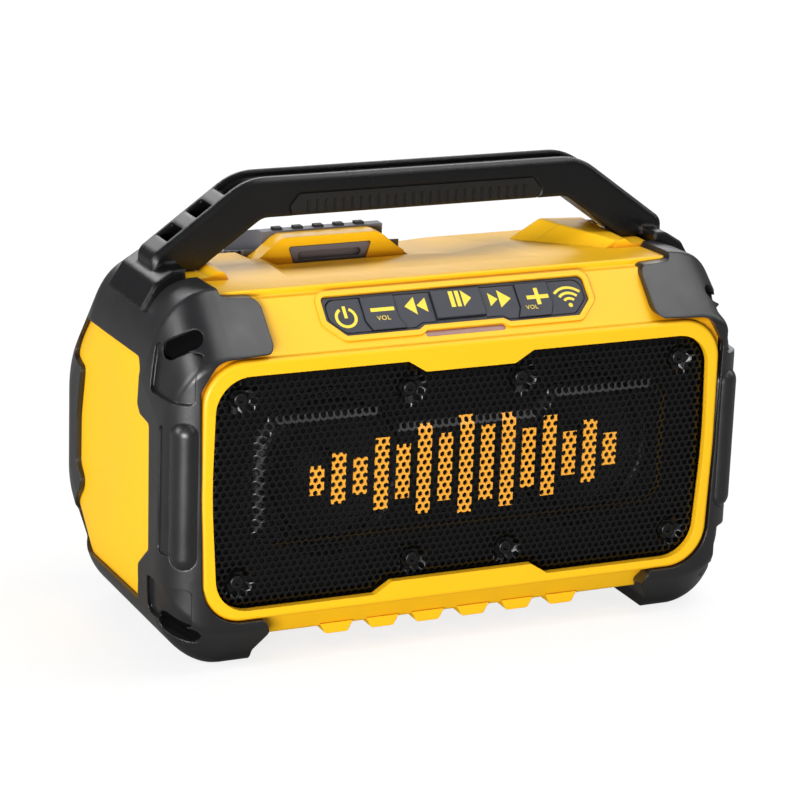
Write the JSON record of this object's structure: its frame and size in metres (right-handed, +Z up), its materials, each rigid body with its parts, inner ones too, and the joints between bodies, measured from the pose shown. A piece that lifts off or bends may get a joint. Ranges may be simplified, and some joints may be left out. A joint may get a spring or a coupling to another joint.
{
  "type": "jobsite bluetooth speaker",
  "caption": "Rugged portable speaker with a carry handle, rubber end caps, perforated grille, sloped keypad and a battery pack that slides out at the rear.",
  "frame": {"origin": "centre of the speaker's box, on the surface that its feet stand on", "axes": "+X to the right seen from the grille side, +Y from the grille to the battery, +Z up"},
  "size_m": [0.262, 0.137, 0.1906],
  "materials": {
    "housing_yellow": "moulded, satin",
    "overmould_black": "soft-touch moulded rubber",
    "handle_black": "moulded, fine grain",
    "grip_rubber": "ribbed rubber",
    "grille_steel": "black powder coat",
    "screw_steel": "blackened",
    "keypad_rubber": "matt, printed icons",
    "light_lens": "smoked light pipe",
    "inner_plastic": "moulded",
    "cone_paper": "coated cone",
    "surround_rubber": "butyl rubber",
    "magnet_ferrite": "ferrite and plated steel",
    "driver_steel": "pressed steel, black",
    "board": "solder mask",
    "switch_plastic": "moulded",
    "contact_brass": "plated",
    "socket_metal": "plated",
    "battery_grey": "moulded, fine grain",
    "battery_yellow": "moulded, satin",
    "latch_grey": "moulded",
    "cell_steel": "sleeved steel cans"
  },
  "bodies": {
    "housing": {"front_housing": "housing_yellow", "rear_housing": "housing_yellow", "handle_frame": "handle_black", "handle_grip": "grip_rubber", "handle_screws": "screw_steel", "speaker_grille": "grille_steel", "grille_screws": "screw_steel", "speaker_baffle": "inner_plastic", "keypad_base": "keypad_rubber", "switch_board": "board", "tact_switches": "switch_plastic", "status_light_window": "light_lens", "housing_screws": "screw_steel", "aux_jack": "inner_plastic", "usb_socket": "socket_metal", "terminal_block": "inner_plastic", "terminal_blades": "contact_brass", "main_board": "board", "left_end_cap": "overmould_black", "left_side_panel": "housing_yellow", "left_front_bumper": "overmould_black", "left_rear_bumper": "overmould_black", "left_driver_frame": "driver_steel", "left_driver_magnet": "magnet_ferrite", "left_driver_surround": "surround_rubber", "right_end_cap": "overmould_black", "right_side_panel": "housing_yellow", "right_front_bumper": "overmould_black", "right_rear_bumper": "overmould_black", "right_driver_frame": "driver_steel", "right_driver_magnet": "magnet_ferrite", "right_driver_surround": "surround_rubber"},
    "battery": {"battery_case": "battery_grey", "battery_collar": "battery_yellow", "battery_cells": "cell_steel"},
    "battery_release": {"battery_latch": "latch_grey"},
    "port_lid": {"port_cover": "overmould_black"},
    "left_cone": {"left_driver_cone": "cone_paper"},
    "right_cone": {"right_driver_cone": "cone_paper"},
    "power_key": {"power_button": "keypad_rubber"},
    "volume_down_key": {"volume_down_button": "keypad_rubber"},
    "previous_key": {"previous_button": "keypad_rubber"},
    "play_key": {"play_button": "keypad_rubber"},
    "next_key": {"next_button": "keypad_rubber"},
    "volume_up_key": {"volume_up_button": "keypad_rubber"},
    "pairing_key": {"pairing_button": "keypad_rubber"}
  },
  "joints": [
    {"name": "battery_slide", "type": "slide", "parent": "housing", "child": "battery", "axis": [0, 0, 1], "range_m": [0, 0.125]},
    {"name": "battery_release_push", "type": "slide", "parent": "battery", "child": "battery_release", "axis": [0, 1, 0], "range_m": [0, 0.003], "stiffness_N_per_m": 800},
    {"name": "port_lid_hinge", "type": "hinge", "parent": "housing", "child": "port_lid", "pos_m": [0.066, 0.0582, 0.0617], "axis": [-1, 0, 0], "range_deg": [0, 95]},
    {"name": "power_press", "type": "slide", "parent": "housing", "child": "power_key", "axis": [0, 0.7071, -0.7071], "range_m": [0, 0.001], "stiffness_N_per_m": 1500},
    {"name": "volume_down_press", "type": "slide", "parent": "housing", "child": "volume_down_key", "axis": [0, 0.7071, -0.7071], "range_m": [0, 0.001], "stiffness_N_per_m": 1500},
    {"name": "previous_press", "type": "slide", "parent": "housing", "child": "previous_key", "axis": [0, 0.7071, -0.7071], "range_m": [0, 0.001], "stiffness_N_per_m": 1500},
    {"name": "play_press", "type": "slide", "parent": "housing", "child": "play_key", "axis": [0, 0.7071, -0.7071], "range_m": [0, 0.001], "stiffness_N_per_m": 1500},
    {"name": "next_press", "type": "slide", "parent": "housing", "child": "next_key", "axis": [0, 0.7071, -0.7071], "range_m": [0, 0.001], "stiffness_N_per_m": 1500},
    {"name": "volume_up_press", "type": "slide", "parent": "housing", "child": "volume_up_key", "axis": [0, 0.7071, -0.7071], "range_m": [0, 0.001], "stiffness_N_per_m": 1500},
    {"name": "pairing_press", "type": "slide", "parent": "housing", "child": "pairing_key", "axis": [0, 0.7071, -0.7071], "range_m": [0, 0.001], "stiffness_N_per_m": 1500},
    {"name": "left_cone_stroke", "type": "slide", "parent": "housing", "child": "left_cone", "axis": [0, -1, 0], "range_m": [-0.0015, 0.0015], "stiffness_N_per_m": 2500, "deforming": ["left_driver_surround"]},
    {"name": "right_cone_stroke", "type": "slide", "parent": "housing", "child": "right_cone", "axis": [0, -1, 0], "range_m": [-0.0015, 0.0015], "stiffness_N_per_m": 2500, "deforming": ["right_driver_surround"]}
  ]
}
